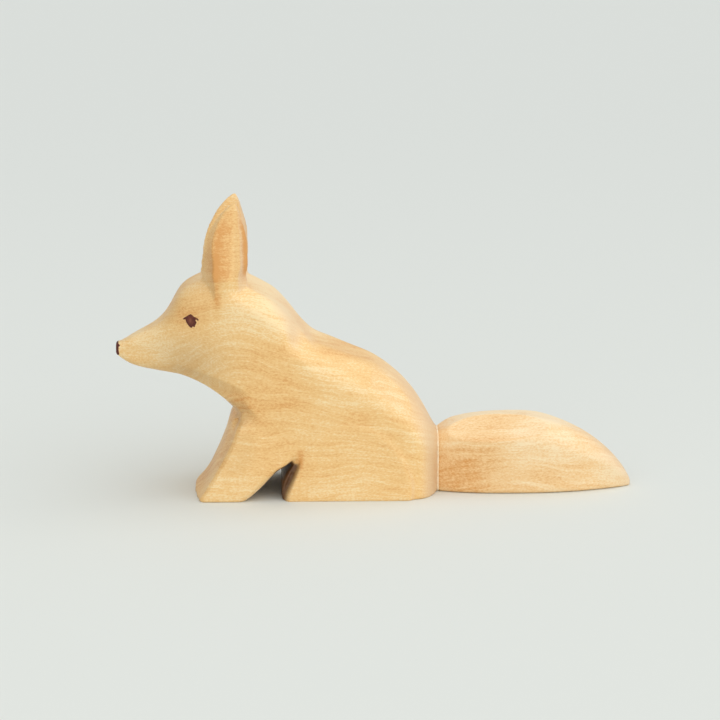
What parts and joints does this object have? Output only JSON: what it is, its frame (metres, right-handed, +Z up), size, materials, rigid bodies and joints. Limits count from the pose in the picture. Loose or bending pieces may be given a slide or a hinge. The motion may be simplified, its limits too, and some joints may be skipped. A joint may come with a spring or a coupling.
{
  "type": "fox figurine",
  "caption": "Sitting fox carved from pale oiled wood, facing forward on straight forelegs, with upright ears and a brush tail laid flat behind it; eyes and nose dabbed in brown paint.",
  "frame": {"origin": "on the surface that the figure stands on, at the middle of its length and of its thickness", "axes": "+X from the nose towards the tip of the tail, -Y towards the fox's left side, +Z up"},
  "size_m": [0.129, 0.03, 0.0739],
  "materials": {
    "body_wood": "sanded smooth and rubbed with clear oil, satin",
    "tail_wood": "sanded smooth and rubbed with clear oil, satin",
    "dowel_wood": "raw beech",
    "wood_glue": "dried pale wood glue, sanded flush",
    "eye_paint": "thin brown paint put on with a brush, low sheen",
    "nose_paint": "thin brown paint put on with a brush, low sheen"
  },
  "bodies": {
    "root": {"body_block": "body_wood", "tail_block": "tail_wood", "tail_dowel": "dowel_wood", "tail_glue_line": "wood_glue", "left_eye_paint": "eye_paint", "right_eye_paint": "eye_paint", "nose_paint": "nose_paint"}
  },
  "joints": []
}
